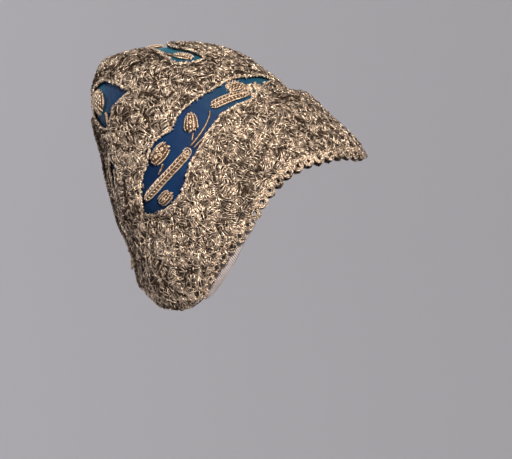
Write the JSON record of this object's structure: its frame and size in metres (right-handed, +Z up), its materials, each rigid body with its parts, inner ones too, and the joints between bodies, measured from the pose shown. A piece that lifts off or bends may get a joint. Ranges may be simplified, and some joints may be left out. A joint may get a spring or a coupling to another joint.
{
  "type": "hat",
  "caption": "Fitted cap of blue silk under gilt metal lace, a blunt cone with a rounded lobe behind each ear, scalloped face edge and flowers embroidered in open windows.",
  "frame": {"origin": "middle of the head opening, level with the rim of the upright cap, where the head holds it", "axes": "+Z up as worn, the face looks along -Y, the wearer's right is -X"},
  "size_m": [0.1556, 0.1812, 0.1751],
  "materials": {
    "silk": "shot silk, dark blue with a teal cast",
    "lace": "worn gilt thread, dulled",
    "edging": "worn gilt thread, dulled",
    "embroidery": "gilt thread over padding",
    "tape": "ribbed pinkish grey tape"
  },
  "bodies": {
    "root": {"silk_cap": "silk", "band_lace": "lace", "crown_lace": "lace", "scallop_edging": "edging", "back_braid": "edging", "lining_tape_right": "tape", "lining_tape_left": "tape", "corn_strap_right": "embroidery", "corn_strap_left": "embroidery", "tulip_strap_right": "embroidery", "tulip_strap_left": "embroidery", "berry_right": "embroidery", "berry_left": "embroidery", "rosebud_right": "embroidery", "rosebud_left": "embroidery", "point_leaf_right": "embroidery", "point_leaf_left": "embroidery", "loop_leaf_right": "embroidery", "loop_leaf_left": "embroidery", "berry_stem_right": "embroidery", "berry_stem_left": "embroidery", "rosebud_stem_right": "embroidery", "rosebud_stem_left": "embroidery", "long_stem_right": "embroidery", "long_stem_left": "embroidery", "short_stem_right": "embroidery", "short_stem_left": "embroidery", "top_side_bud_right": "embroidery", "top_side_bud_left": "embroidery", "top_stem_right": "embroidery", "top_stem_left": "embroidery", "back_petal_right": "embroidery", "back_petal_left": "embroidery", "back_stem_right": "embroidery", "back_stem_left": "embroidery", "top_bud": "embroidery"}
  },
  "joints": []
}
